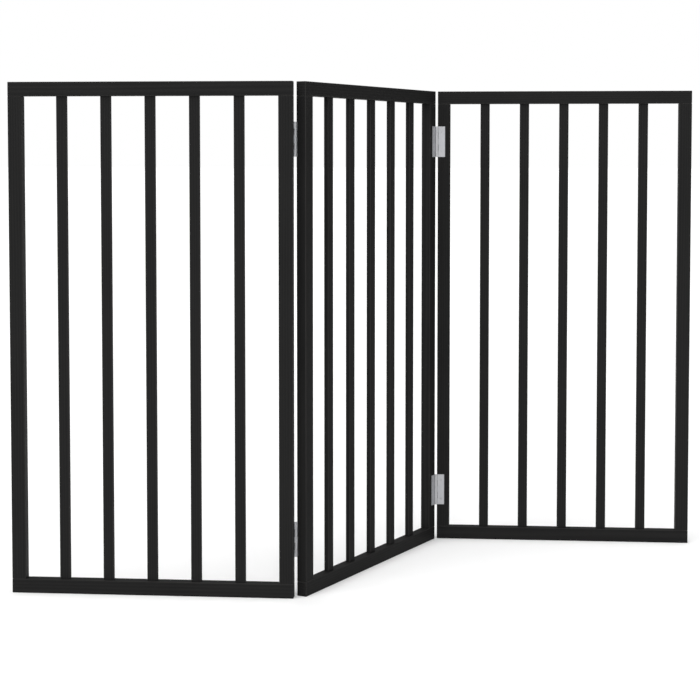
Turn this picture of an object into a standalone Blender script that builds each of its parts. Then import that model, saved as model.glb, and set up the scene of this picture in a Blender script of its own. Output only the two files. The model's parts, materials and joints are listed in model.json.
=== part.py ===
"""A folding pet gate: three slatted wooden panels joined by butt hinges that are let into the stiles.

Metres, +Z up. The gate stands on z = 0, opened into a Z, with its middle panel centred on the origin.
Each outer panel hangs from an empty on its own fold axis. The right panel is the left one turned half
round, so both come from the same functions.
"""

import math

import bmesh
import bpy
from mathutils import Matrix, Vector

MM = 0.001

# One panel
PANEL_WIDTH = 400 * MM
PANEL_HEIGHT = 720 * MM
PANEL_THICKNESS = 15 * MM
STILE_WIDTH = 20 * MM
RAIL_HEIGHT = 20 * MM
BAR_WIDTH = 14.4 * MM
BAR_THICKNESS = 6.7 * MM
BAR_COUNT = 5
FRAME_ARRIS = 0.8 * MM
BAR_ARRIS = 0.6 * MM

# How far each panel is turned from its neighbour's line
FOLD_ANGLE = math.radians(65)

# Joints between stiles, bars and rails
STILE_TENON_LENGTH = 10 * MM
STILE_TENON_WIDTH = 10 * MM
STILE_TENON_THICKNESS = 7 * MM
BAR_TENON_LENGTH = 8 * MM
JOINT_GAP = 0.3 * MM  # between any two pieces that are glued or screwed together

# Butt hinges
HINGE_HEIGHT = 48.5 * MM
HINGE_INSET = 80 * MM  # from the panel's top or bottom to the hinge's middle
LEAF_THICKNESS = 1.2 * MM
LEAF_REACH = 11.6 * MM  # onto the stile
BARREL_RADIUS = 2.5 * MM
PIN_RADIUS = 1.2 * MM
PIN_CLEARANCE = 0.08 * MM  # radial, to the flats of the bore
ROLL_STEP = 0.1 * MM  # how far the leaf's back lies inside the barrel's round
KNUCKLE_COUNT = 5
KNUCKLE_GAP = 0.25 * MM
STILE_TO_AXIS = 1.5 * MM  # from the stile's edge to the pin's axis

# Countersunk screws
SCREW_LENGTH = 12 * MM
SCREW_SHANK_RADIUS = 1.2 * MM
SCREW_HEAD_RADIUS = 2.6 * MM
SCREW_HEAD_DEPTH = 1.1 * MM
SCREW_POINT_LENGTH = 2.5 * MM
SCREW_FROM_LEAF_EDGE = 5.2 * MM
SCREW_FROM_LEAF_END = 9 * MM
SCREW_CLEARANCE = 0.15 * MM
SCREW_SUNK = 0.05 * MM  # the head's face below the leaf's face

ROUND_STEPS = 28
SMALL_ROUND_STEPS = 20
CUT_OVERRUN = 1 * MM  # how far a cutter passes the face that it opens
SHARP_ANGLE = math.radians(35)

# Places that follow from the sizes above
LEAF_BACK = BARREL_RADIUS - ROLL_STEP  # from the pin's axis to the leaf's back
AXIS_PROUD = LEAF_BACK - LEAF_THICKNESS  # the axis stands this far off the stile's face
BORE_RADIUS = (PIN_RADIUS + PIN_CLEARANCE) / math.cos(math.pi / ROUND_STEPS)
GAIN_DEPTH = LEAF_THICKNESS + JOINT_GAP
LEAF_END = STILE_TO_AXIS + LEAF_REACH
SCREW_FROM_AXIS = LEAF_END - SCREW_FROM_LEAF_EDGE
STILE_LENGTH = PANEL_HEIGHT - 2 * RAIL_HEIGHT - 2 * JOINT_GAP
BAR_LENGTH = PANEL_HEIGHT - 2 * RAIL_HEIGHT + 2 * BAR_TENON_LENGTH
CLEAR_WIDTH = PANEL_WIDTH - 2 * STILE_WIDTH
BAR_PITCH = (CLEAR_WIDTH - BAR_COUNT * BAR_WIDTH) / (BAR_COUNT + 1) + BAR_WIDTH
HINGE_LEVELS = {"lower": HINGE_INSET, "upper": PANEL_HEIGHT - HINGE_INSET}
SCREW_LEVELS = {
    "low": SCREW_FROM_LEAF_END - HINGE_HEIGHT / 2,
    "high": HINGE_HEIGHT / 2 - SCREW_FROM_LEAF_END,
}
PANEL_CENTRE = Vector(
    (
        -STILE_TO_AXIS - PANEL_WIDTH / 2,
        -AXIS_PROUD - PANEL_THICKNESS / 2,
        0,
    )
)  # an outer panel's middle, seen from its fold axis


def clear_scene():
    for item in list(bpy.data.objects):
        bpy.data.objects.remove(item, do_unlink=True)


def make_collection(name):
    collection = bpy.data.collections.new(name)
    bpy.context.scene.collection.children.link(collection)
    return collection


def make_material(name, colour, roughness, metallic):
    material = bpy.data.materials.new(name)
    material.use_nodes = True
    material.diffuse_color = (*colour, 1)
    shader = material.node_tree.nodes["Principled BSDF"]
    shader.inputs["Base Color"].default_value = (*colour, 1)
    shader.inputs["Roughness"].default_value = roughness
    shader.inputs["Metallic"].default_value = metallic
    return material


def mesh_from(name, fill):
    """A mesh from whatever fill(bm) adds."""
    bm = bmesh.new()
    fill(bm)
    mesh = bpy.data.meshes.new(name)
    bm.to_mesh(mesh)
    bm.free()
    return mesh


def add_box(bm, centre, size):
    bmesh.ops.create_cube(
        bm, size=1, matrix=Matrix.Translation(centre) @ Matrix.Diagonal((*size, 1))
    )


def add_rod(bm, radius, low, high, steps, turn=Matrix.Identity(4)):
    """A cylinder along Z from low to high, with a flat of its round facing each axis, then turned."""
    middle = Matrix.Translation((0, 0, (low + high) / 2))
    half_step = Matrix.Rotation(math.pi / steps, 4, "Z")
    bmesh.ops.create_cone(
        bm,
        cap_ends=True,
        segments=steps,
        radius1=radius,
        radius2=radius,
        depth=high - low,
        matrix=turn @ middle @ half_step,
    )


def place(name, mesh, collection, parent, location=(0, 0, 0), turn=(0, 0, 0)):
    item = bpy.data.objects.new(name, mesh)
    collection.objects.link(item)
    item.parent = parent
    item.location = location
    item.rotation_euler = turn
    return item


def make_cutter(name, mesh, parent, location=(0, 0, 0), turn=(0, 0, 0)):
    cutter = place(name, mesh, cutters, parent, location, turn)
    cutter.hide_render = True
    cutter.display_type = "WIRE"
    return cutter


def combine(item, operation, other):
    modifier = item.modifiers.new(other.name, "BOOLEAN")
    modifier.operation = operation
    modifier.object = other


def ease_edges(item, width):
    modifier = item.modifiers.new("eased_edges", "BEVEL")
    modifier.width = width
    modifier.segments = 2
    modifier.limit_method = "ANGLE"
    modifier.angle_limit = SHARP_ANGLE


def turn_profile(mesh, steps):
    """An object that spins its profile about Z. The profile runs down its outer side."""
    item = bpy.data.objects.new(mesh.name, mesh)
    modifier = item.modifiers.new("turned", "SCREW")
    modifier.steps = steps
    modifier.render_steps = steps
    modifier.use_merge_vertices = True
    modifier.merge_threshold = 0.00001
    return item


def profile_mesh(name, points):
    """Edges through (radius, height) points."""

    def fill(bm):
        corners = [bm.verts.new((radius, 0, height)) for radius, height in points]
        for start, end in zip(corners, corners[1:]):
            bm.edges.new((start, end))

    return mesh_from(name, fill)


def settled_mesh(item):
    """The item's mesh with its modifiers applied, and its round faces smooth. The item and its cutters go."""
    others = [m.object for m in item.modifiers if m.type == "BOOLEAN"]
    graph = bpy.context.evaluated_depsgraph_get()
    mesh = bpy.data.meshes.new_from_object(item.evaluated_get(graph))
    mesh.name = item.name
    mesh.shade_smooth()
    mesh.set_sharp_from_angle(angle=SHARP_ANGLE)
    for spare in [item, *others]:
        bpy.data.objects.remove(spare, do_unlink=True)
    return mesh


# Wooden pieces, each about its own middle


def bar_offsets():
    """The middles of the bars across the panel."""
    middle = (BAR_COUNT - 1) / 2
    return [(index - middle) * BAR_PITCH for index in range(BAR_COUNT)]


def stile_offset():
    return (PANEL_WIDTH - STILE_WIDTH) / 2


def make_rail(name, parent, centre, opens):
    """A rail across the panel, with a blind mortise for each stile and bar. opens is the side they enter."""
    size = (PANEL_WIDTH, PANEL_THICKNESS, RAIL_HEIGHT)
    rail = place(name, mesh_from(name, lambda bm: add_box(bm, (0, 0, 0), size)), gate, parent, centre)
    rail.data.materials.append(black_paint)
    ease_edges(rail, FRAME_ARRIS)

    def mortise(bm, offset, width, thickness, length):
        depth = length + JOINT_GAP
        height = depth + CUT_OVERRUN
        middle = opens * (RAIL_HEIGHT / 2 - depth + height / 2)
        add_box(
            bm,
            (offset, 0, middle),
            (width + 2 * JOINT_GAP, thickness + 2 * JOINT_GAP, height),
        )

    def mortises(bm):
        for offset in bar_offsets():
            mortise(bm, offset, BAR_WIDTH, BAR_THICKNESS, BAR_TENON_LENGTH)
        for side in (-1, 1):
            offset = side * stile_offset()
            mortise(bm, offset, STILE_TENON_WIDTH, STILE_TENON_THICKNESS, STILE_TENON_LENGTH)

    combine(rail, "DIFFERENCE", make_cutter(name + "_mortises", mesh_from(name, mortises), rail))


def make_stile(name, parent, centre, hinge_side, hinge_face):
    """An upright with a tenon at each end. A hinged one has a gain and screw holes for each leaf.

    hinge_side is the side that faces the next panel, and hinge_face the face that takes the leaves.
    """
    size = (STILE_WIDTH, PANEL_THICKNESS, STILE_LENGTH)
    core = (
        STILE_TENON_WIDTH,
        STILE_TENON_THICKNESS,
        STILE_LENGTH + 2 * (JOINT_GAP + STILE_TENON_LENGTH),
    )
    stile = place(name, mesh_from(name, lambda bm: add_box(bm, (0, 0, 0), size)), gate, parent, centre)
    stile.data.materials.append(black_paint)
    ease_edges(stile, FRAME_ARRIS)
    tenons = make_cutter(
        name + "_tenons", mesh_from(name, lambda bm: add_box(bm, (0, 0, 0), core)), stile
    )
    combine(stile, "UNION", tenons)
    if not hinge_face:
        return

    axis = hinge_side * (STILE_WIDTH / 2 + STILE_TO_AXIS)
    face = hinge_face * PANEL_THICKNESS / 2

    def gains(bm):
        reach = LEAF_REACH + JOINT_GAP + CUT_OVERRUN
        depth = GAIN_DEPTH + CUT_OVERRUN
        middle = (
            hinge_side * (STILE_WIDTH / 2 + CUT_OVERRUN - reach / 2),
            face + hinge_face * (CUT_OVERRUN - depth / 2),
        )
        for level in HINGE_LEVELS.values():
            add_box(
                bm,
                (*middle, level - PANEL_HEIGHT / 2),
                (reach, depth, HINGE_HEIGHT + 2 * JOINT_GAP),
            )

    def screw_holes(bm):
        inwards = Matrix.Rotation(hinge_face * math.pi / 2, 4, "X")
        for level in HINGE_LEVELS.values():
            for step in SCREW_LEVELS.values():
                spot = (axis - hinge_side * SCREW_FROM_AXIS, face, level + step - PANEL_HEIGHT / 2)
                add_rod(
                    bm,
                    SCREW_SHANK_RADIUS + SCREW_CLEARANCE,
                    0,
                    SCREW_LENGTH + SCREW_SUNK + JOINT_GAP,
                    SMALL_ROUND_STEPS,
                    Matrix.Translation(spot) @ inwards,
                )

    combine(stile, "DIFFERENCE", make_cutter(name + "_gains", mesh_from(name, gains), stile))
    combine(stile, "DIFFERENCE", make_cutter(name + "_holes", mesh_from(name, screw_holes), stile))


def make_bar_mesh():
    size = (BAR_WIDTH, BAR_THICKNESS, BAR_LENGTH)
    bar = place("bar", mesh_from("bar", lambda bm: add_box(bm, (0, 0, 0), size)), gate, None)
    bar.data.materials.append(black_paint)
    ease_edges(bar, BAR_ARRIS)
    return settled_mesh(bar)


def make_panel(prefix, parent, centre, stiles):
    """One panel. stiles maps each side to its stile's name and the face that its hinges are on, or 0."""
    bottom = centre + Vector((0, 0, RAIL_HEIGHT / 2))
    top = centre + Vector((0, 0, PANEL_HEIGHT - RAIL_HEIGHT / 2))
    middle = centre + Vector((0, 0, PANEL_HEIGHT / 2))
    make_rail(prefix + "_bottom_rail", parent, bottom, 1)
    make_rail(prefix + "_top_rail", parent, top, -1)
    for side, (name, face) in stiles.items():
        make_stile(f"{prefix}_{name}", parent, middle + Vector((side * stile_offset(), 0, 0)), side, face)
    for number, offset in enumerate(bar_offsets(), 1):
        place(f"{prefix}_bar_{number}", bar_mesh, gate, parent, middle + Vector((offset, 0, 0)))


# Hinge pieces, with the pin's axis on Z


def knuckle_row(index):
    """The low and high end of a knuckle, counted from the bottom."""
    pitch = HINGE_HEIGHT / KNUCKLE_COUNT
    low = index * pitch - HINGE_HEIGHT / 2
    return low, low + pitch


def screw_head_profile(grow, overrun):
    """A countersunk head's side from its face down to the shank, as (radius, height) with the face at 0."""
    shank = SCREW_SHANK_RADIUS + grow
    head = SCREW_HEAD_RADIUS + grow
    return [(head, overrun), (head, -SCREW_SUNK), (shank, -SCREW_SUNK - SCREW_HEAD_DEPTH)]


def make_leaf_mesh(name, side, own_rows):
    """A leaf that reaches to one side of its axis, with its seen face towards +Y and its own knuckles."""

    def sheet(bm):
        middle = (side * LEAF_END / 2, -LEAF_BACK + LEAF_THICKNESS / 2, 0)
        add_box(bm, middle, (LEAF_END, LEAF_THICKNESS, HINGE_HEIGHT))

    def barrel(bm):
        add_rod(bm, BARREL_RADIUS, -HINGE_HEIGHT / 2, HINGE_HEIGHT / 2, ROUND_STEPS)

    def bore(bm):
        reach = HINGE_HEIGHT / 2 + CUT_OVERRUN
        add_rod(bm, BORE_RADIUS, -reach, reach, ROUND_STEPS)

    def slots(bm):
        """Room for the other leaf's knuckles."""
        inner = BARREL_RADIUS + CUT_OVERRUN
        outer = BARREL_RADIUS + JOINT_GAP
        for index in set(range(KNUCKLE_COUNT)) - set(own_rows):
            low, high = knuckle_row(index)
            low -= KNUCKLE_GAP / 2 if index > 0 else CUT_OVERRUN
            high += KNUCKLE_GAP / 2 if index < KNUCKLE_COUNT - 1 else CUT_OVERRUN
            add_box(
                bm,
                (side * (outer - inner) / 2, 0, (low + high) / 2),
                (outer + inner, 2 * inner, high - low),
            )

    leaf = place(name, mesh_from(name, sheet), gate, None)
    leaf.data.materials.append(steel)
    combine(leaf, "UNION", make_cutter(name + "_barrel", mesh_from(name, barrel), None))
    combine(leaf, "DIFFERENCE", make_cutter(name + "_slots", mesh_from(name, slots), None))
    combine(leaf, "DIFFERENCE", make_cutter(name + "_bore", mesh_from(name, bore), None))
    profile = screw_head_profile(SCREW_CLEARANCE, CUT_OVERRUN)
    shank = profile[-1][0]
    outline = [(0, CUT_OVERRUN), *profile, (shank, -2 * LEAF_THICKNESS), (0, -2 * LEAF_THICKNESS)]
    for level in SCREW_LEVELS.values():
        sink = turn_profile(profile_mesh(name + "_sink", outline), SMALL_ROUND_STEPS)
        cutters.objects.link(sink)
        sink.location = (side * SCREW_FROM_AXIS, LEAF_THICKNESS - LEAF_BACK, level)
        sink.rotation_euler = (-math.pi / 2, 0, 0)
        sink.hide_render = True
        sink.display_type = "WIRE"
        combine(leaf, "DIFFERENCE", sink)
    return settled_mesh(leaf)


def make_pin_mesh():
    reach = (HINGE_HEIGHT - KNUCKLE_GAP) / 2
    mesh = mesh_from("pin", lambda bm: add_rod(bm, PIN_RADIUS, -reach, reach, ROUND_STEPS))
    pin = place("pin", mesh, gate, None)
    pin.data.materials.append(steel)
    return settled_mesh(pin)


def make_screw_mesh():
    """A screw along -Z, with its head's face at 0."""
    tip = -SCREW_SUNK - SCREW_LENGTH
    outline = [
        (0, -SCREW_SUNK),
        *screw_head_profile(0, -SCREW_SUNK)[1:],
        (SCREW_SHANK_RADIUS, tip + SCREW_POINT_LENGTH),
        (0, tip),
    ]
    screw = turn_profile(profile_mesh("screw", outline), SMALL_ROUND_STEPS)
    gate.objects.link(screw)
    screw.data.materials.append(steel)
    return settled_mesh(screw)


def make_screws(prefix, parent, axis, side, face):
    """A leaf's two screws. axis is the hinge's middle, and face the way that the seen side looks."""
    for level_name, level in SCREW_LEVELS.items():
        spot = axis + Vector((side * SCREW_FROM_AXIS, -face * AXIS_PROUD, level))
        turn = (-face * math.pi / 2, 0, 0)
        place(f"{prefix}_screw_{level_name}", screw_mesh, gate, parent, spot, turn)


def make_outer_hinges(prefix, parent):
    """The hinge pieces that ride on an outer panel: leaves with three knuckles, pins and screws."""
    for level_name, level in HINGE_LEVELS.items():
        name = f"{prefix}_{level_name}_hinge"
        axis = Vector((0, 0, level))
        place(name + "_outer_leaf", outer_leaf_mesh, gate, parent, axis)
        place(name + "_pin", pin_mesh, gate, parent, axis)
        make_screws(name + "_outer", parent, axis, -1, 1)


def make_middle_hinges(prefix, parent, side):
    """The hinge pieces at one side of the middle panel: leaves with two knuckles, and screws."""
    for level_name, level in HINGE_LEVELS.items():
        name = f"{prefix}_{level_name}_hinge"
        axis = fold_axis(side) + Vector((0, 0, level))
        turn = (0, 0, 0) if side < 0 else (0, 0, math.pi)
        place(name + "_middle_leaf", middle_leaf_mesh, gate, parent, axis, turn)
        make_screws(name + "_middle", parent, axis, -side, -side)


def fold_axis(side):
    """A fold axis seen from the middle panel. The left one is behind the panel, the right one in front."""
    across = PANEL_WIDTH / 2 + STILE_TO_AXIS
    off = PANEL_THICKNESS / 2 + AXIS_PROUD
    return Vector((side * across, -side * off, 0))


def make_empty(name, location, angle):
    empty = bpy.data.objects.new(name, None)
    gate.objects.link(empty)
    empty.location = location
    empty.rotation_euler = (0, 0, angle)
    return empty


clear_scene()
gate = make_collection("pet_gate")
cutters = make_collection("cutters")
black_paint = make_material("black_paint", (0.021, 0.021, 0.021), 0.5, 0.0)
steel = make_material("zinc_plated_steel", (0.52, 0.52, 0.54), 0.38, 1.0)

bar_mesh = make_bar_mesh()
outer_leaf_mesh = make_leaf_mesh("outer_leaf", -1, (0, 2, 4))
middle_leaf_mesh = make_leaf_mesh("middle_leaf", 1, (1, 3))
pin_mesh = make_pin_mesh()
screw_mesh = make_screw_mesh()

middle_frame = make_empty("middle_frame", (0, 0, 0), FOLD_ANGLE)
make_panel(
    "middle_panel",
    middle_frame,
    Vector((0, 0, 0)),
    {-1: ("left_stile", 1), 1: ("right_stile", -1)},
)

FOLD_TURN = Matrix.Rotation(FOLD_ANGLE, 3, "Z")
for side, panel, angle in ((-1, "left", 0), (1, "right", math.pi)):
    frame = make_empty(panel + "_fold_axis", FOLD_TURN @ fold_axis(side), angle)
    make_panel(panel + "_panel", frame, PANEL_CENTRE, {-1: ("free_stile", 0), 1: ("hinge_stile", 1)})
    make_outer_hinges(panel, frame)
    make_middle_hinges(panel, middle_frame, side)
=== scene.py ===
"""Looks of a free-standing folding pet gate: three slatted panels of black-painted pine on butt hinges.

Metres, +Z up. Wooden pieces are modelled in the axes of one panel: X across it, Y through it, Z up from
the floor. Hinge pieces are modelled in the axes of one hinge, with its pin on Z. Copies then go to their
places.
"""

import json
import math
import random

import bmesh
import bpy
from mathutils import Matrix, Vector

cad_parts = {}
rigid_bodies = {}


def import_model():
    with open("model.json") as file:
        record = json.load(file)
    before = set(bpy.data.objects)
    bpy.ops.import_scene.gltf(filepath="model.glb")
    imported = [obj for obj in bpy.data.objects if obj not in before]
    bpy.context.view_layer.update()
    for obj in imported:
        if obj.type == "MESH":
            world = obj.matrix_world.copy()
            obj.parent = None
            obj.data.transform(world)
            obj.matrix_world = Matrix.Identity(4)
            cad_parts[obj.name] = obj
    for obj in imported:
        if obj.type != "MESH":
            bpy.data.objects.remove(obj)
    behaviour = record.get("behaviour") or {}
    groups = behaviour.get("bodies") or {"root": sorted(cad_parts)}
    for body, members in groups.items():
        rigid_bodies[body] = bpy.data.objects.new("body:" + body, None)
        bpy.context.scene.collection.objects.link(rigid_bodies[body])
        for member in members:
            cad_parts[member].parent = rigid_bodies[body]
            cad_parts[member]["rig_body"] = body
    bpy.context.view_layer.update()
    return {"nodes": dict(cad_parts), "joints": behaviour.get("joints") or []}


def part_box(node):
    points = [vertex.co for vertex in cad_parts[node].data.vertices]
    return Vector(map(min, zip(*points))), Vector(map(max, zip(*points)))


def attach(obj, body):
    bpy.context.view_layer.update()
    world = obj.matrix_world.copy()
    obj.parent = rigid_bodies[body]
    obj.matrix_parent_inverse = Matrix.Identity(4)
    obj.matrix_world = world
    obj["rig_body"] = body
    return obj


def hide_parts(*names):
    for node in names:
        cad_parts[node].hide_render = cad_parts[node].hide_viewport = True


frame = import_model()

# BARS
# Five slim uprights in each panel, planed from pine with sanded arrises and let into the rails at both
# ends. They are glued there, and the sprayed paint has gathered in a small fillet round each end.

MM = 0.001
FOLD_ANGLE = math.radians(frame["joints"][0]["range_deg"][1])  # from flat, at both folds
PANEL_TURNS = {"left_panel": 0, "middle_panel": FOLD_ANGLE, "right_panel": math.pi}
BAR_COUNT = 5
BAR_ARRIS = 0.7 * MM
ARRIS_STEPS = 4
FILLET_RINGS = (  # how far off the rail, and how far proud of the bar
    (0, 0),
    (0.02 * MM, 0.35 * MM),
    (0.2 * MM, 0.12 * MM),
    (0.7 * MM, 0),
)
SAME_LEVEL = 0.001 * MM
SMOOTH_UP_TO = math.radians(35)
FLAT_SHARE = 0.999  # how nearly a face must look along one axis to be a flat and not an arris
PITH_NEAREST = 30 * MM  # from a piece's middle to the heart of the tree that it was sawn from
PITH_FURTHEST = 75 * MM
BOARD_LENGTH = 5.0  # of the board or strip that a piece is cut from
PAINT_DEEP = (0.0081, 0.0081, 0.0083, 1)
PAINT_PALE = (0.0132, 0.0131, 0.0130, 1)
PAINT_ON_RINGS = (0.0170, 0.0167, 0.0163, 1)
# lighter paint on the arrises: partly rubbed wear, partly a painted highlight along the bevels
PAINT_WORN_AND_HIGHLIT = (0.035, 0.034, 0.033, 1)
RING_TINT = 0.5
RING_RELIEF = 0.5  # as a share of the raised fibres' relief, and so is the next
SPRAY_RELIEF = 0.4
RUB_GLOSS = 0.08  # how much less rough the rubbed paint is
MIX_SOCKETS = (0, 6, 7)  # of a colour mix: its factor and its two colours
MIX_RESULT = 2  # its mixed colour

panel_places = {}
for panel, turn in PANEL_TURNS.items():
    rail_low, rail_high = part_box(panel + "_bottom_rail")
    middle = (rail_low + rail_high) / 2
    panel_places[panel] = Matrix.Translation((middle.x, middle.y, 0)) @ Matrix.Rotation(turn, 4, "Z")


def panel_box(piece):
    """The corners of one of the left panel's pieces, in the panel's axes. That panel isn't turned."""
    to_panel = panel_places["left_panel"].inverted()
    low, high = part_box("left_panel_" + piece)
    return to_panel @ low, to_panel @ high


def start_block(name, low, high):
    """A block between two corners, and the only thing selected."""
    bpy.ops.object.select_all(action="DESELECT")
    bpy.ops.mesh.primitive_cube_add(size=1, location=(low + high) / 2, scale=high - low)
    block = bpy.context.object
    block.name = name
    bpy.ops.object.transform_apply(location=True, rotation=True, scale=True)
    return block


def pick(kind, wanted):
    """Selects, in edit mode, only the corners, edges or faces whose middle and direction are wanted."""
    bpy.ops.object.mode_set(mode="EDIT")
    bpy.ops.mesh.select_mode(type=kind)
    bpy.ops.mesh.select_all(action="DESELECT")
    mesh = bpy.context.object.data
    shape = bmesh.from_edit_mesh(mesh)
    shape.normal_update()
    if kind == "VERT":
        found = [corner for corner in shape.verts if wanted(corner.co, corner.normal)]
    elif kind == "EDGE":
        ends = {edge: (edge.verts[0].co, edge.verts[1].co) for edge in shape.edges}
        found = [edge for edge, (a, b) in ends.items() if wanted((a + b) / 2, (b - a).normalized())]
    else:
        found = [face for face in shape.faces if wanted(face.calc_center_median(), face.normal)]
    for item in found:
        item.select_set(True)
    bmesh.update_edit_mesh(mesh)


def cut_across(spot, normal):
    """Rings a new loop of edges round the whole piece where a plane meets it."""
    bpy.ops.object.mode_set(mode="EDIT")
    bpy.ops.mesh.select_all(action="SELECT")
    bpy.ops.mesh.bisect(plane_co=spot, plane_no=normal)


def finish_shape(piece):
    """Shades rounds smooth and flats flat, and goes back to object mode."""
    bpy.ops.object.mode_set(mode="OBJECT")
    bpy.ops.object.select_all(action="DESELECT")
    piece.select_set(True)
    bpy.context.view_layer.objects.active = piece
    bpy.ops.object.shade_smooth_by_angle(angle=SMOOTH_UP_TO)
    piece.modifiers.new("even_shading", "WEIGHTED_NORMAL").keep_sharp = True
    bpy.ops.object.modifier_apply(modifier="even_shading")


def set_in_place(pattern, name, node, place, finish, grain="Z"):
    """Copies a pattern to its place as the piece that a CAD node stands for.

    The copy's stock attribute says where each corner lay in the timber or strip that it was cut from, with
    the grain along Z. Its arris attribute is 1 on the rounds and slopes, and 0 on the flats.
    """
    piece = pattern.copy()
    piece.data = pattern.data.copy()
    piece.name = name
    bpy.context.scene.collection.objects.link(piece)
    mesh = piece.data
    draw = random.Random(node)
    out = draw.uniform(PITH_NEAREST, PITH_FURTHEST)
    round_pith = draw.uniform(0, 2 * math.pi)
    along_board = draw.uniform(0, BOARD_LENGTH)
    shift = Vector((out * math.cos(round_pith), out * math.sin(round_pith), along_board))
    to_grain = Matrix.Rotation(math.pi / 2, 3, "Y") if grain == "X" else Matrix.Identity(3)
    stock = mesh.attributes.new("stock", "FLOAT_VECTOR", "POINT")
    for corner, value in zip(mesh.vertices, stock.data):
        value.vector = to_grain @ corner.co + shift
    arris = mesh.attributes.new("arris", "FLOAT", "FACE")
    for face, value in zip(mesh.polygons, arris.data):
        value.value = 0 if max(map(abs, face.normal)) > FLAT_SHARE else 1
    mesh.transform(place)
    mesh.materials.clear()
    mesh.materials.append(finish)
    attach(piece, frame["nodes"][node]["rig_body"])
    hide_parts(node)


def add_node(tree, kind, inputs=None, **settings):
    """A shader node with its settings. Each input takes a value, or another node's output."""
    made = tree.nodes.new(kind)
    for name, value in settings.items():
        setattr(made, name, value)
    for name, value in (inputs or {}).items():
        if isinstance(value, bpy.types.NodeSocket):
            tree.links.new(value, made.inputs[name])
        else:
            made.inputs[name].default_value = value
    return made


def stretched(tree, vector, along):
    """The vector with its Z scaled, which draws a pattern out along the grain."""
    inputs = {"Vector": vector, "Scale": (1, 1, along)}
    return add_node(tree, "ShaderNodeMapping", inputs).outputs["Vector"]


def start_finish(name):
    """A new material, its node tree and its shader."""
    material = bpy.data.materials.new(name)
    material.use_nodes = True
    return material, material.node_tree, material.node_tree.nodes["Principled BSDF"]


def spread(tree, value, low, high):
    """Maps a 0 to 1 value onto low to high."""
    inputs = {"Value": value, "To Min": low, "To Max": high}
    return add_node(tree, "ShaderNodeMapRange", inputs).outputs["Result"]


def mixed(tree, factor, first, second):
    """A colour between two, by factor."""
    inputs = dict(zip(MIX_SOCKETS, (factor, first, second)))
    return add_node(tree, "ShaderNodeMix", inputs, data_type="RGBA").outputs[MIX_RESULT]


def combined(tree, operation, first, second):
    """Two values put together by a maths operation."""
    inputs = {0: first, 1: second}
    return add_node(tree, "ShaderNodeMath", inputs, operation=operation).outputs["Value"]


def noise(tree, vector, scale, detail, roughness=0.5):
    """A noise pattern from 0 to 1."""
    inputs = {"Vector": vector, "Scale": scale, "Detail": detail, "Roughness": roughness}
    return add_node(tree, "ShaderNodeTexNoise", inputs).outputs["Fac"]


def piece_attributes(tree):
    """A piece's place in its stock, and how far it is an arris."""
    stock = add_node(tree, "ShaderNodeAttribute", attribute_name="stock")
    arris = add_node(tree, "ShaderNodeAttribute", attribute_name="arris")
    return stock.outputs["Vector"], arris.outputs["Fac"]


def set_relief(tree, shader, relief, strength, depth):
    """Gives the shader a bump from a relief, whose height is depth."""
    bump = add_node(
        tree, "ShaderNodeBump", {"Height": relief, "Strength": strength, "Distance": depth}
    )
    tree.links.new(bump.outputs["Normal"], shader.inputs["Normal"])


black_paint, tree, shader = start_finish("satin_black_on_pine")
stock, arris = piece_attributes(tree)
rings = add_node(
    tree,
    "ShaderNodeTexWave",
    {
        "Vector": stretched(tree, stock, along=0.05),
        "Scale": 90,  # growth rings about 3.5 mm apart
        "Distortion": 9.0,
        "Detail": 3.0,
        "Detail Scale": 0.35,
    },
    wave_type="RINGS",
    rings_direction="Z",
).outputs["Fac"]
fibres = noise(tree, stretched(tree, stock, along=0.02), scale=1400, detail=3.0, roughness=0.6)
streaks = noise(tree, stretched(tree, stock, along=0.03), scale=260, detail=4.0, roughness=0.55)
spray = noise(tree, stock, scale=500, detail=2.0)
patches = noise(tree, stretched(tree, stock, along=0.3), scale=30, detail=2.0)
# Streaky lighter paint on every arris: rubbed wear, and partly a painted highlight on the bevels
wear_and_highlight = combined(tree, "MULTIPLY", arris, spread(tree, streaks, low=-0.2, high=1.1))
paint = mixed(tree, patches, PAINT_DEEP, PAINT_PALE)
paint = mixed(tree, combined(tree, "MULTIPLY", rings, RING_TINT), paint, PAINT_ON_RINGS)
paint = mixed(tree, wear_and_highlight, paint, PAINT_WORN_AND_HIGHLIT)
tree.links.new(paint, shader.inputs["Base Color"])
dullness = spread(tree, streaks, low=0.46, high=0.60)
dullness = combined(tree, "SUBTRACT", dullness, combined(tree, "MULTIPLY", wear_and_highlight, RUB_GLOSS))
tree.links.new(dullness, shader.inputs["Roughness"])
shader.inputs["Specular IOR Level"].default_value = 0.04
relief = combined(tree, "ADD", combined(tree, "MULTIPLY", rings, RING_RELIEF), fibres)
relief = combined(tree, "ADD", relief, combined(tree, "MULTIPLY", spray, SPRAY_RELIEF))
set_relief(tree, shader, relief, strength=0.6, depth=0.12 * MM)

clear_low = panel_box("bottom_rail")[1].z
clear_high = panel_box("top_rail")[0].z
bar_low, bar_high = panel_box("bar_1")
bar_pitch = panel_box("bar_2")[0].x - bar_low.x
bar_middle = (bar_low + bar_high) / 2

bar = start_block("bar_pattern", bar_low, bar_high)
pick("EDGE", lambda middle, way: abs(way.z) > FLAT_SHARE)
bpy.ops.mesh.bevel(offset=BAR_ARRIS, segments=ARRIS_STEPS, affect="EDGES")
for rail_face, inwards in ((clear_low, 1), (clear_high, -1)):
    for off_rail, proud in FILLET_RINGS:
        level = rail_face + inwards * off_rail
        cut_across((0, 0, level), (0, 0, 1))
        pick("VERT", lambda corner, normal: abs(corner.z - level) < SAME_LEVEL)
        size = bar_high - bar_low
        grow = (1 + 2 * proud / size.x, 1 + 2 * proud / size.y, 1)
        bpy.ops.transform.resize(value=grow, center_override=bar_middle)
finish_shape(bar)

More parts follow.
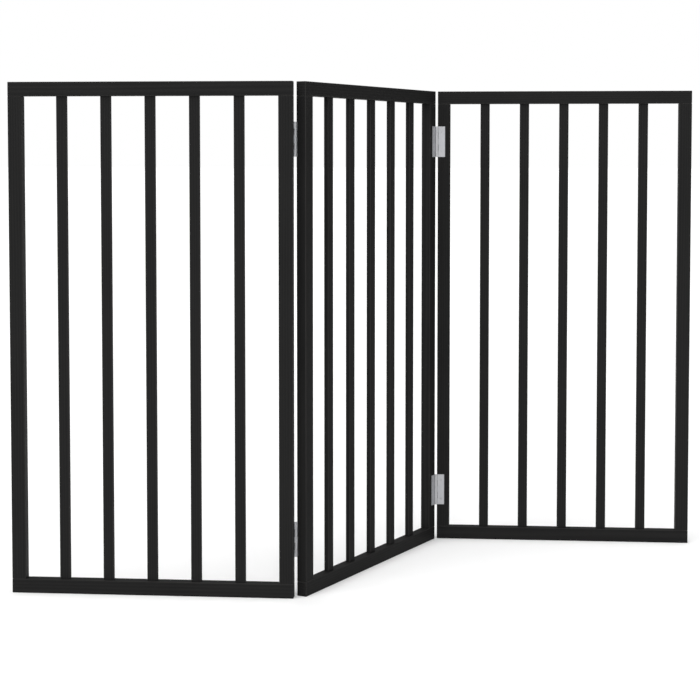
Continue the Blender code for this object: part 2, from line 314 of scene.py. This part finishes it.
for panel, place in panel_places.items():
    for number in range(1, BAR_COUNT + 1):
        node = f"{panel}_bar_{number}"
        along = place @ Matrix.Translation(((number - 1) * bar_pitch, 0, 0))
        set_in_place(bar, node + "_painted", node, along, black_paint)
bpy.data.objects.remove(bar)

# STILES
# Two stout uprights close the sides of each panel, with a tenon at each end that is glued into the rails.
# Those that carry hinges have a shallow gain cut for each leaf, so that its face lies flush with the wood.

WOOD_ARRIS = 0.8 * MM
SHOULDER_GAP = 0.04 * MM  # a closed glue joint between shoulder and rail
TENON_WIDTH = 10 * MM
TENON_THICKNESS = 7 * MM
GAIN_DEPTH = 1.3 * MM
GAIN_ROOM = 0.15 * MM  # round the leaf's outline
PILOT_RADIUS = 1.35 * MM
PILOT_DEPTH = 12.4 * MM
PILOT_STEPS = 24
OVERRUN = 2 * MM  # how far a cutter passes the face that it opens


def start_rod(name, radius, low, high, steps):
    """A round rod between the middles of its ends, and the only thing selected."""
    bpy.ops.object.select_all(action="DESELECT")
    bpy.ops.mesh.primitive_cylinder_add(
        vertices=steps,
        radius=radius,
        depth=(high - low).length,
        location=(low + high) / 2,
        rotation=(high - low).to_track_quat("Z", "Y").to_euler(),
    )
    rod = bpy.context.object
    rod.name = name
    bpy.ops.object.transform_apply(location=True, rotation=True, scale=True)
    return rod


def cut_away(piece, cutter, operation="DIFFERENCE"):
    """Cuts the cutter's shape out of the piece, or joins it on with UNION, and removes the cutter."""
    bpy.ops.object.mode_set(mode="OBJECT")
    bpy.ops.object.select_all(action="DESELECT")
    piece.select_set(True)
    bpy.context.view_layer.objects.active = piece
    cut = piece.modifiers.new("cut", "BOOLEAN")
    cut.operation = operation
    cut.object = cutter
    bpy.ops.object.modifier_apply(modifier="cut")
    bpy.data.objects.remove(cutter)


def start_stile(name, low, high, tenon_length):
    """A stile with eased arrises and a tenon at each end, between the outer corners of its body."""
    stile = start_block(name, low, high)
    bpy.ops.object.mode_set(mode="EDIT")
    bpy.ops.mesh.select_all(action="SELECT")
    bpy.ops.mesh.bevel(offset=WOOD_ARRIS, segments=ARRIS_STEPS, affect="EDGES")
    size = high - low
    centre = (low + high) / 2
    rounds = 2 * WOOD_ARRIS
    shrink = (TENON_WIDTH / (size.x - rounds), TENON_THICKNESS / (size.y - rounds), 1)
    for end, way in ((low, -1), (high, 1)):
        pick("FACE", lambda middle, normal: normal.z * way > FLAT_SHARE)
        bpy.ops.mesh.extrude_region_move()
        bpy.ops.transform.resize(value=shrink, center_override=(centre.x, centre.y, end.z))
        out = (0, 0, way * tenon_length)
        bpy.ops.mesh.extrude_region_move(TRANSFORM_OT_translate={"value": out})
    bpy.ops.object.mode_set(mode="OBJECT")
    return stile


free_low, free_high = panel_box("free_stile")
tenon_low = free_low.z
free_low.z = clear_low + SHOULDER_GAP
free_high.z = clear_high - SHOULDER_GAP
tenon_length = free_low.z - tenon_low
free_stile = start_stile("free_stile_pattern", free_low, free_high, tenon_length)
finish_shape(free_stile)
for panel in ("left_panel", "right_panel"):
    node = panel + "_free_stile"
    set_in_place(free_stile, node + "_painted", node, panel_places[panel], black_paint)
bpy.data.objects.remove(free_stile)

to_panel = panel_places["left_panel"].inverted()
hinge_low, hinge_high = panel_box("hinge_stile")
hinge_low.z, hinge_high.z = free_low.z, free_high.z
hinge_stile = start_stile("hinge_stile_pattern", hinge_low, hinge_high, tenon_length)
for level in ("lower", "upper"):
    prefix = f"left_{level}_hinge_"
    leaf_low, leaf_high = (to_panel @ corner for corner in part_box(prefix + "outer_leaf"))
    gain = start_block(
        "gain_cutter",
        Vector((leaf_low.x - GAIN_ROOM, hinge_high.y - GAIN_DEPTH, leaf_low.z - GAIN_ROOM)),
        Vector((hinge_high.x + OVERRUN, hinge_high.y + OVERRUN, leaf_high.z + GAIN_ROOM)),
    )
    cut_away(hinge_stile, gain)
    for step in ("low", "high"):
        screw_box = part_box(f"{prefix}outer_screw_{step}")
        screw_low, screw_high = (to_panel @ corner for corner in screw_box)
        spot = (screw_low + screw_high) / 2
        pilot = start_rod(
            "pilot_cutter",
            PILOT_RADIUS,
            Vector((spot.x, hinge_high.y - PILOT_DEPTH, spot.z)),
            Vector((spot.x, hinge_high.y + OVERRUN, spot.z)),
            PILOT_STEPS,
        )
        cut_away(hinge_stile, pilot)
finish_shape(hinge_stile)


def turned_over(axis):
    """Half a turn about a level axis through a panel's middle."""
    middle_height = Matrix.Translation((0, 0, (clear_low + clear_high) / 2))
    return middle_height @ Matrix.Rotation(math.pi, 4, axis) @ middle_height.inverted()


hinge_stile_places = {
    "left_panel_hinge_stile": panel_places["left_panel"],
    "right_panel_hinge_stile": panel_places["right_panel"],
    "middle_panel_left_stile": panel_places["middle_panel"] @ turned_over("Y"),
    "middle_panel_right_stile": panel_places["middle_panel"] @ turned_over("X"),
}
for node, place in hinge_stile_places.items():
    set_in_place(hinge_stile, node + "_painted", node, place, black_paint)
bpy.data.objects.remove(hinge_stile)

# RAILS
# A rail caps each panel and another stands on the floor, as long as the panel is wide. Both have a blind
# mortise for every bar and stile, and show the end grain of the pine at their ends.

MORTISE_ROOM = 0.1 * MM  # round a tenon
MORTISE_DEPTH_ROOM = 0.3 * MM  # past a tenon's end

rail_low, rail_high = panel_box("bottom_rail")
rail = start_block("rail_pattern", rail_low, rail_high)
bpy.ops.object.mode_set(mode="EDIT")
bpy.ops.mesh.select_all(action="SELECT")
bpy.ops.mesh.bevel(offset=WOOD_ARRIS, segments=ARRIS_STEPS, affect="EDGES")
bpy.ops.object.mode_set(mode="OBJECT")


def cut_mortise(low, high):
    """A pocket in the rail's upper face for a tenon between two corners."""
    room = Vector((MORTISE_ROOM, MORTISE_ROOM, MORTISE_DEPTH_ROOM))
    top = Vector((high.x, high.y, rail_high.z + OVERRUN - MORTISE_DEPTH_ROOM))
    cut_away(rail, start_block("mortise_cutter", low - room, top + room))


for number in range(BAR_COUNT):
    step = Vector((number * bar_pitch, 0, 0))
    cut_mortise(bar_low + step, bar_high + step)
for stile_low, stile_high in ((free_low, free_high), (hinge_low, hinge_high)):
    centre = (stile_low + stile_high) / 2
    half = Vector((TENON_WIDTH / 2, TENON_THICKNESS / 2, 0))
    foot = Vector((centre.x, centre.y, tenon_low))
    cut_mortise(foot - half, foot + half)
finish_shape(rail)

for panel, place in panel_places.items():
    for which, over in (("bottom_rail", Matrix.Identity(4)), ("top_rail", turned_over("X"))):
        node = f"{panel}_{which}"
        spot = place @ over
        set_in_place(rail, node + "_painted", node, spot, black_paint, grain="X")
bpy.data.objects.remove(rail)

# HINGE LEAVES
# Butt hinge leaves blanked from 1.2 mm zinc-plated steel strip, with countersunk screw holes. Tabs on one
# edge are rolled round the pin into knuckles: three on an outer panel's leaf, two on the middle panel's.

LEAF_THICKNESS = 1.2 * MM
ROLL_RADIUS = 2.4 * MM  # outside of a rolled knuckle
ROLL_ANGLE = math.radians(292)
ROLL_STEPS = 44
KNUCKLE_COUNT = 5
KNUCKLE_GAP = 0.2 * MM
KNUCKLE_ROOM = 0.3 * MM  # between a leaf's edge and the other leaf's knuckles
LEAF_CORNER = 0.8 * MM
LEAF_CORNER_STEPS = 6
LEAF_ARRIS = 0.12 * MM
LEAF_ARRIS_STEPS = 2
COUNTERSINK_RADIUS = 2.75 * MM
COUNTERSINK_DEPTH = 1.15 * MM
SCREW_HOLE_RADIUS = 1.4 * MM
HOLE_STEPS = 40
OUTER_ROWS = (0, 2, 4)  # of knuckles, from the bottom
MIDDLE_ROWS = (1, 3)
ZINC_BLUISH = (0.40, 0.41, 0.44, 1)
ZINC_WARM = (0.50, 0.50, 0.505, 1)
ZINC_DULL = (0.38, 0.39, 0.42, 1)
ZINC_BURNISHED = (0.56, 0.56, 0.57, 1)
DULL_TINT = 0.3
PLATING_RELIEF = 0.6  # as a share of the rolling marks' relief
BURNISH_GLOSS = 0.08  # how much less rough the burnished edges are

leaf_low, leaf_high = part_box("left_lower_hinge_outer_leaf")
pin_low, pin_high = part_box("left_lower_hinge_pin")
to_hinge = Matrix.Translation((pin_low + pin_high) / 2).inverted()
leaf_low, leaf_high = to_hinge @ leaf_low, to_hinge @ leaf_high
screw_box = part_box("left_lower_hinge_outer_screw_high")
screw_low, screw_high = (to_hinge @ corner for corner in screw_box)
screw_across = (screw_low.x + screw_high.x) / 2
screw_up = (screw_low.z + screw_high.z) / 2
leaf_face = LEAF_THICKNESS - ROLL_RADIUS  # the seen face's place through the hinge


def countersink(across, up):
    """A cutter for one screw hole: a cone from the leaf's seen face down to a straight hole."""
    hole = start_rod(
        "hole_cutter",
        SCREW_HOLE_RADIUS,
        Vector((across, leaf_face - COUNTERSINK_DEPTH, up)),
        Vector((across, leaf_face, up)),
        HOLE_STEPS,
    )
    centre = (across, leaf_face, up)
    pick("FACE", lambda middle, normal: normal.y > FLAT_SHARE)
    grow = COUNTERSINK_RADIUS / SCREW_HOLE_RADIUS
    bpy.ops.transform.resize(value=(grow, 1, grow), center_override=centre)
    bpy.ops.mesh.extrude_region_move(TRANSFORM_OT_translate={"value": (0, OVERRUN, 0)})
    pick("FACE", lambda middle, normal: normal.y < -FLAT_SHARE)
    bpy.ops.mesh.extrude_region_move(TRANSFORM_OT_translate={"value": (0, -OVERRUN, 0)})
    bpy.ops.object.mode_set(mode="OBJECT")
    return hole


def start_leaf(name, own_rows):
    """A leaf that reaches towards -X with its seen face towards +Y, and rolls its own rows of tabs."""
    edge = -ROLL_RADIUS - KNUCKLE_ROOM
    leaf = start_block(
        name,
        Vector((leaf_low.x, -ROLL_RADIUS, leaf_low.z)),
        Vector((edge, leaf_face, leaf_high.z)),
    )
    pick("EDGE", lambda middle, way: abs(way.y) > FLAT_SHARE and middle.x < edge - MM)
    bpy.ops.mesh.bevel(offset=LEAF_CORNER, segments=LEAF_CORNER_STEPS, affect="EDGES")
    pitch = (leaf_high.z - leaf_low.z) / KNUCKLE_COUNT
    for row in range(1, KNUCKLE_COUNT):
        for side in (-1, 1):
            cut_across((0, 0, leaf_low.z + row * pitch + side * KNUCKLE_GAP / 2), (0, 0, 1))

    def in_own_row(middle, normal):
        if normal.x < FLAT_SHARE:
            return False
        row, within = divmod(middle.z - leaf_low.z, pitch)
        return int(row) in own_rows and KNUCKLE_GAP < within < pitch - KNUCKLE_GAP

    pick("FACE", in_own_row)
    bpy.ops.mesh.extrude_region_move(TRANSFORM_OT_translate={"value": (-edge, 0, 0)})
    bpy.ops.mesh.spin(steps=ROLL_STEPS, angle=-ROLL_ANGLE, center=(0, 0, 0), axis=(0, 0, 1))
    bpy.ops.object.mode_set(mode="OBJECT")
    for up in (-screw_up, screw_up):
        cut_away(leaf, countersink(screw_across, up))
    ease = leaf.modifiers.new("eased_edges", "BEVEL")
    ease.width = LEAF_ARRIS
    ease.segments = LEAF_ARRIS_STEPS
    ease.limit_method = "ANGLE"
    ease.angle_limit = SMOOTH_UP_TO
    bpy.ops.object.modifier_apply(modifier="eased_edges")
    finish_shape(leaf)
    return leaf


zinc_plate, tree, shader = start_finish("zinc_plated_steel")
stock, arris = piece_attributes(tree)
rolled = noise(tree, stretched(tree, stock, along=0.03), scale=2500, detail=3.0, roughness=0.65)
plating = noise(tree, stock, scale=350, detail=4.0, roughness=0.6)
clouds = noise(tree, stock, scale=90, detail=2.0)
metal = mixed(tree, clouds, ZINC_BLUISH, ZINC_WARM)
metal = mixed(tree, combined(tree, "MULTIPLY", plating, DULL_TINT), metal, ZINC_DULL)
burnish = combined(tree, "MULTIPLY", arris, spread(tree, plating, low=0.0, high=0.7))
metal = mixed(tree, burnish, metal, ZINC_BURNISHED)
tree.links.new(metal, shader.inputs["Base Color"])
shader.inputs["Metallic"].default_value = 0.6
dullness = spread(tree, plating, low=0.48, high=0.60)
dullness = combined(tree, "SUBTRACT", dullness, combined(tree, "MULTIPLY", burnish, BURNISH_GLOSS))
tree.links.new(dullness, shader.inputs["Roughness"])
relief = combined(tree, "ADD", rolled, combined(tree, "MULTIPLY", plating, PLATING_RELIEF))
set_relief(tree, shader, relief, strength=0.5, depth=0.03 * MM)

hinge_places = {}
for side, turn in (("left", 0), ("right", math.pi)):
    for level in ("lower", "upper"):
        low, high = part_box(f"{side}_{level}_hinge_pin")
        spot = Matrix.Translation((low + high) / 2)
        turned = spot @ Matrix.Rotation(turn + FOLD_ANGLE, 4, "Z")
        hinge_places[f"{side}_{level}_hinge"] = {
            "outer": spot @ Matrix.Rotation(turn, 4, "Z"),
            "middle": turned @ Matrix.Rotation(math.pi, 4, "Y"),
        }

for half, own_rows in (("outer", OUTER_ROWS), ("middle", MIDDLE_ROWS)):
    leaf = start_leaf(half + "_leaf_pattern", own_rows)
    for hinge, places in hinge_places.items():
        node = f"{hinge}_{half}_leaf"
        set_in_place(leaf, node + "_plated", node, places[half], zinc_plate)
    bpy.data.objects.remove(leaf)

# PINS
# A steel wire pin runs the whole height of each hinge through its five knuckles. Its ends are domed by the
# riveting that keeps it in, and it stays with the outer panel's leaf.

PIN_RADIUS = 1.15 * MM
PIN_STEPS = 32
PIN_DOME = 0.5 * MM
PIN_DOME_STEPS = 4

foot, head = (Vector((0, 0, (to_hinge @ corner).z)) for corner in (pin_low, pin_high))
pin = start_rod("pin_pattern", PIN_RADIUS, foot, head, PIN_STEPS)
pick("FACE", lambda middle, normal: abs(normal.z) > FLAT_SHARE)
bpy.ops.mesh.bevel(offset=PIN_DOME, segments=PIN_DOME_STEPS, affect="EDGES")
finish_shape(pin)
for hinge, places in hinge_places.items():
    node = hinge + "_pin"
    set_in_place(pin, node + "_plated", node, places["outer"], zinc_plate)
bpy.data.objects.remove(pin)

# SCREWS
# Two countersunk wood screws hold each leaf, plated like the hinge. Each has a cross recess in a flat head,
# a rolled thread on its shank, and a plain cone for a point.

SCREW_PROFILE = (  # radius and depth below the head's face, in mm
    (2.6, 0.0),
    (2.6, 0.12),
    (1.2, 1.15),
    (0.95, 1.8),
    (0.95, 9.6),
    (0.12, 12.0),
)
SCREW_STEPS = 32
HEAD_SUNK = 0.05 * MM
RECESS_LENGTH = 2.9 * MM
RECESS_WIDTH = 0.75 * MM
RECESS_DEPTH = 1.3 * MM
RECESS_TAPER = (0.45, 1, 0.7)  # at its bottom: along, down and across
THREAD_RADIUS = 1.3 * MM  # at the crest
THREAD_SIDES = 3
THREAD_SIZE = 0.3 * MM
THREAD_PITCH = 1.2 * MM
THREAD_TURNS = 6
THREAD_STEPS = 20
THREAD_REACH = 9.4 * MM  # below the head

head_face = leaf_face - HEAD_SUNK
bpy.ops.object.select_all(action="DESELECT")
bpy.ops.mesh.primitive_circle_add(
    vertices=SCREW_STEPS,
    radius=SCREW_PROFILE[0][0] * MM,
    fill_type="NGON",
    location=(0, head_face, 0),
    rotation=(-math.pi / 2, 0, 0),
)
screw = bpy.context.object
screw.name = "screw_pattern"
bpy.ops.object.transform_apply(location=True, rotation=True, scale=True)
bpy.ops.object.mode_set(mode="EDIT")
bpy.ops.mesh.select_all(action="SELECT")
for (radius, depth), (next_radius, next_depth) in zip(SCREW_PROFILE, SCREW_PROFILE[1:]):
    down = (0, (depth - next_depth) * MM, 0)
    bpy.ops.mesh.extrude_region_move(TRANSFORM_OT_translate={"value": down})
    shrink = next_radius / radius
    bpy.ops.transform.resize(
        value=(shrink, 1, shrink), center_override=(0, head_face - next_depth * MM, 0)
    )
bpy.ops.mesh.select_all(action="SELECT")
bpy.ops.mesh.normals_make_consistent(inside=False)
bpy.ops.object.mode_set(mode="OBJECT")
for quarter in range(2):
    recess = start_block(
        "recess_cutter",
        Vector((-RECESS_LENGTH / 2, head_face - RECESS_DEPTH, -RECESS_WIDTH / 2)),
        Vector((RECESS_LENGTH / 2, head_face + OVERRUN, RECESS_WIDTH / 2)),
    )
    pick("FACE", lambda middle, normal: normal.y < -FLAT_SHARE)
    bpy.ops.transform.resize(value=RECESS_TAPER, center_override=(0, 0, 0))
    bpy.ops.object.mode_set(mode="OBJECT")
    recess.data.transform(Matrix.Rotation(quarter * math.pi / 2, 4, "Y"))
    cut_away(screw, recess)

bpy.ops.object.select_all(action="DESELECT")
bpy.ops.mesh.primitive_circle_add(
    vertices=THREAD_SIDES,
    radius=THREAD_SIZE,
    location=(THREAD_RADIUS - THREAD_SIZE, head_face - THREAD_REACH, 0),
    rotation=(0, 0, -math.pi / 2),
)
thread = bpy.context.object
bpy.ops.object.transform_apply(location=True, rotation=True, scale=True)
winding = thread.modifiers.new("winding", "SCREW")
winding.axis = "Y"
winding.screw_offset = THREAD_PITCH
winding.iterations = THREAD_TURNS
winding.steps = THREAD_STEPS
winding.render_steps = THREAD_STEPS
bpy.ops.object.modifier_apply(modifier="winding")
bpy.ops.object.mode_set(mode="EDIT")
bpy.ops.mesh.select_all(action="SELECT")
bpy.ops.mesh.fill_holes(sides=THREAD_SIDES)
bpy.ops.mesh.select_all(action="SELECT")
bpy.ops.mesh.normals_make_consistent(inside=False)
cut_away(screw, thread, "UNION")
finish_shape(screw)
for hinge, places in hinge_places.items():
    for half, place in places.items():
        for step, up in (("low", -screw_up), ("high", screw_up)):
            node = f"{hinge}_{half}_screw_{step}"
            level = -up if half == "middle" else up
            spot = place @ Matrix.Translation((screw_across, 0, level))
            set_in_place(screw, node + "_plated", node, spot, zinc_plate)
bpy.data.objects.remove(screw)

# FLOOR, LIGHT AND CAMERA
# A wide matt white floor, and a sky that is plain white to the camera but lights the gate less. One broad
# soft lamp is overhead and another at the front left. The camera stands in front of the gate, a little
# right of its middle and a little below its top rails, and looks slightly down.

FLOOR_SIZE = 200.0
SKY_SEEN = 1.0  # the sky's strength to the camera
SKY_LIGHT = 0.3  # its strength on the gate and the floor
LAMP_HEIGHT = 3.0
LAMPS = {  # strength, width of the light, tilt from straight above, and turn from the front
    "overhead_lamp": (2.25, math.radians(100), 0, 0),
    "front_lamp": (2.3, math.radians(80), math.radians(64), math.radians(-22)),
}
CAMERA_PLACE = (0.1655, -2.4022, 0.6141)
CAMERA_DOWN = math.radians(2.842)
CAMERA_LEFT = math.radians(4.685)
CAMERA_LENS = 82.92  # mm
CAMERA_SENSOR = 36.0  # mm
CAMERA_SHIFT = -0.16
FURTHEST_SEEN = 500.0

bpy.ops.object.select_all(action="DESELECT")
bpy.ops.mesh.primitive_plane_add(size=FLOOR_SIZE, location=(0, 0, 0))
floor = bpy.context.object
floor.name = "floor"
floor_finish, tree, shader = start_finish("matt_white_floor")
shader.inputs["Base Color"].default_value = (0.9, 0.9, 0.9, 1)
shader.inputs["Roughness"].default_value = 0.9
shader.inputs["Specular IOR Level"].default_value = 0.1
floor.data.materials.append(floor_finish)

sky = bpy.data.worlds.new("white_sky")
sky.use_nodes = True
bpy.context.scene.world = sky
tree = sky.node_tree
seen = add_node(tree, "ShaderNodeLightPath").outputs["Is Camera Ray"]
background = tree.nodes["Background"]
background.inputs["Color"].default_value = (1, 1, 1, 1)
tree.links.new(spread(tree, seen, SKY_LIGHT, SKY_SEEN), background.inputs["Strength"])

for name, (strength, width, tilt, turn) in LAMPS.items():
    bpy.ops.object.light_add(type="SUN", location=(0, 0, LAMP_HEIGHT), rotation=(tilt, 0, turn))
    lamp = bpy.context.object
    lamp.name = name
    lamp.data.energy = strength
    lamp.data.angle = width

bpy.ops.object.camera_add(
    location=CAMERA_PLACE, rotation=(math.pi / 2 - CAMERA_DOWN, 0, CAMERA_LEFT)
)
camera = bpy.context.object
camera.data.sensor_width = CAMERA_SENSOR
camera.data.lens = CAMERA_LENS
camera.data.shift_y = CAMERA_SHIFT
camera.data.clip_end = FURTHEST_SEEN
bpy.context.scene.camera = camera
bpy.context.scene.view_settings.view_transform = "Standard"
